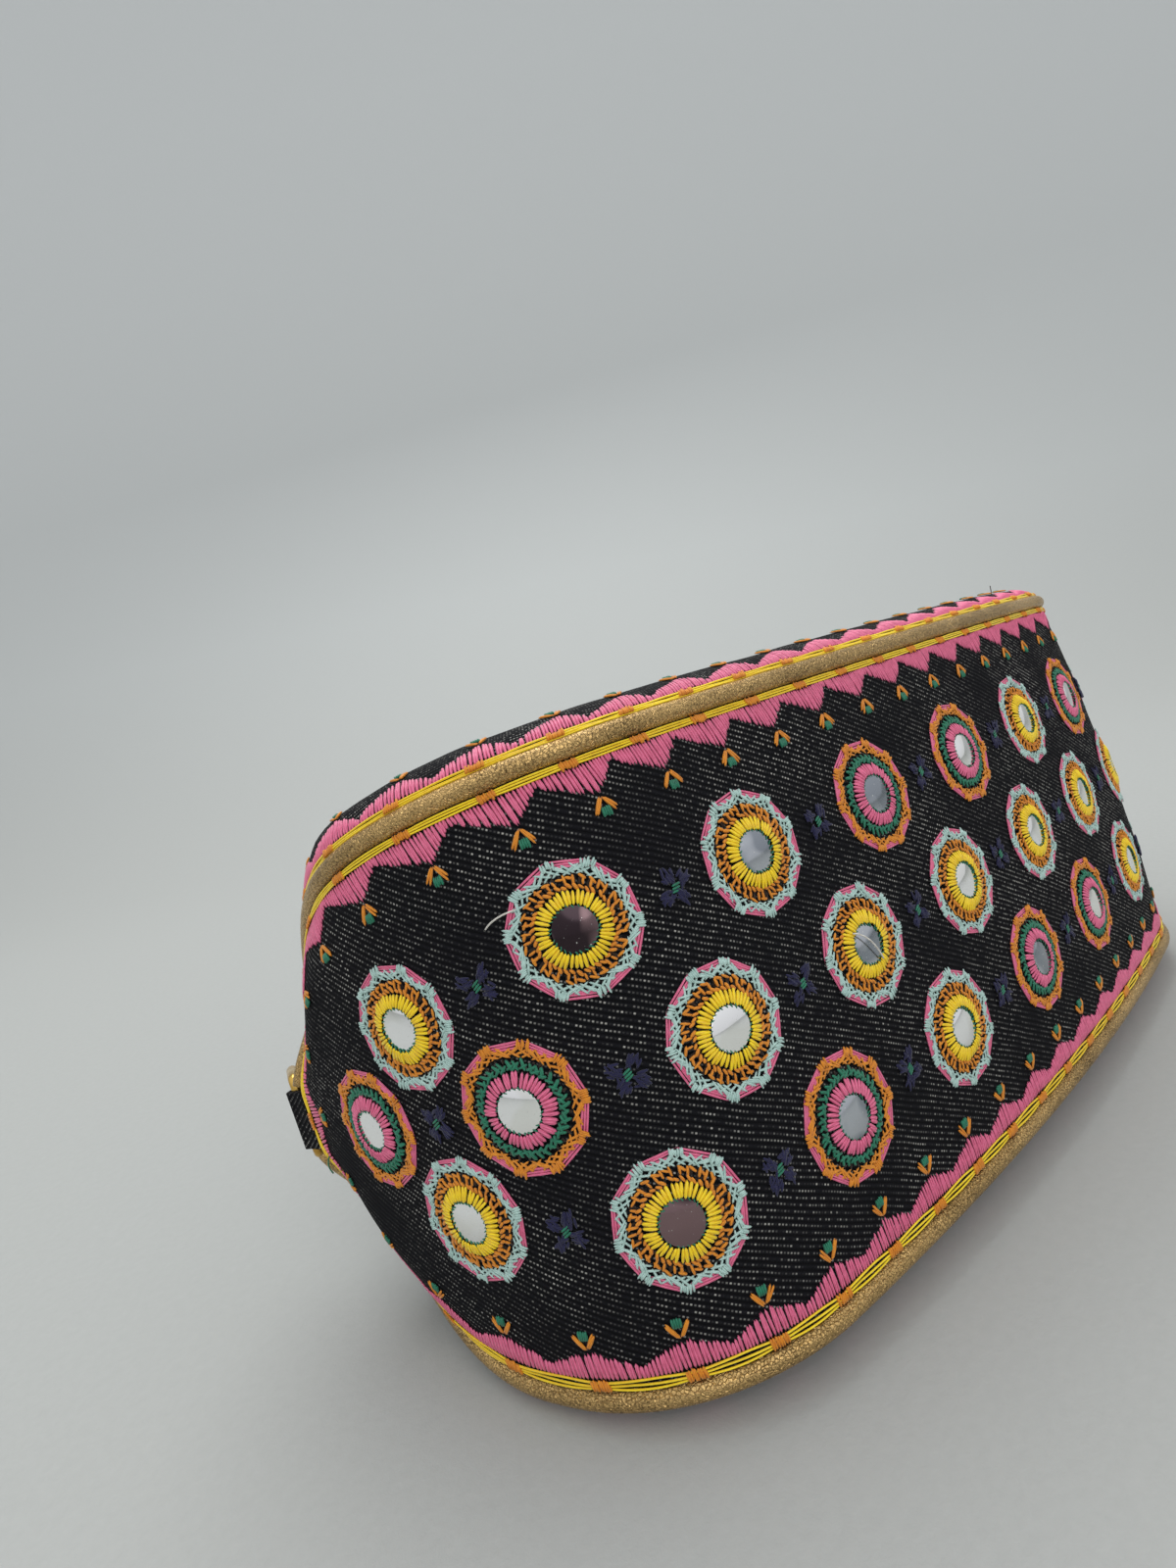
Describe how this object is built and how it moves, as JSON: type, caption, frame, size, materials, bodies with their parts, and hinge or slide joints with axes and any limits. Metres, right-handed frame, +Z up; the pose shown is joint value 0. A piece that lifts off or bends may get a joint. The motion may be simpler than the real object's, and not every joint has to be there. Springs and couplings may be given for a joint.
{
  "type": "flap bag",
  "caption": "Small flap bag of black denim: a wide gusset with mirror embroidery between two piped panels, a cloth flap over the mouth and a strap ring at each end.",
  "frame": {"origin": "bottom centre of the lying bag's bounding box, on the surface it rests on", "axes": "+X along the bag's length, +Y from the base of the gusset towards the mouth, +Z up; the bag lies on its back panel with its front panel up"},
  "size_m": [0.2712, 0.1294, 0.1235],
  "materials": {
    "denim": "matt black twill denim with white flecks",
    "gold_leather": "grained metallic gold leather",
    "pink_thread": "pink satin-stitch thread",
    "yellow_thread": "couched yellow thread with orange wraps",
    "mirror_glass": "small round embroidery mirrors",
    "brass": "polished brass-coloured metal",
    "steel": "plain plated steel"
  },
  "bodies": {
    "bag": {"gusset": "denim", "front_panel": "denim", "back_panel": "denim", "flap": "denim", "tab_left": "denim", "tab_right": "denim", "snap_base": "steel", "snap_cap": "steel", "piping_front": "gold_leather", "piping_back": "gold_leather", "mirror_middle_0": "mirror_glass", "mirror_middle_1": "mirror_glass", "mirror_middle_2": "mirror_glass", "mirror_middle_3": "mirror_glass", "mirror_middle_4": "mirror_glass", "mirror_middle_5": "mirror_glass", "mirror_middle_6": "mirror_glass", "mirror_middle_7": "mirror_glass", "mirror_middle_8": "mirror_glass", "mirror_middle_9": "mirror_glass", "mirror_front_0": "mirror_glass", "mirror_back_0": "mirror_glass", "mirror_front_1": "mirror_glass", "mirror_back_1": "mirror_glass", "mirror_front_2": "mirror_glass", "mirror_back_2": "mirror_glass", "mirror_front_3": "mirror_glass", "mirror_back_3": "mirror_glass", "mirror_front_4": "mirror_glass", "mirror_back_4": "mirror_glass", "mirror_front_5": "mirror_glass", "mirror_back_5": "mirror_glass", "mirror_front_6": "mirror_glass", "mirror_back_6": "mirror_glass", "mirror_front_7": "mirror_glass", "mirror_back_7": "mirror_glass", "mirror_front_8": "mirror_glass", "mirror_back_8": "mirror_glass", "zigzag_gusset": "pink_thread", "cord_gusset": "yellow_thread", "zigzag_front": "pink_thread", "cord_front": "yellow_thread", "zigzag_back": "pink_thread", "cord_back": "yellow_thread"},
    "ring_left": {"ring_left": "brass"},
    "ring_right": {"ring_right": "brass"}
  },
  "joints": [
    {"name": "ring_left_swing", "type": "hinge", "parent": "bag", "child": "ring_left", "pos_m": [-0.13161, 0.04866, 0.04288], "axis": [0, 0.2079, 0.9781], "range_deg": [-40, 125]},
    {"name": "ring_right_swing", "type": "hinge", "parent": "bag", "child": "ring_right", "pos_m": [0.13147, 0.04866, 0.04288], "axis": [0, -0.2079, -0.9781], "range_deg": [-40, 125]}
  ]
}
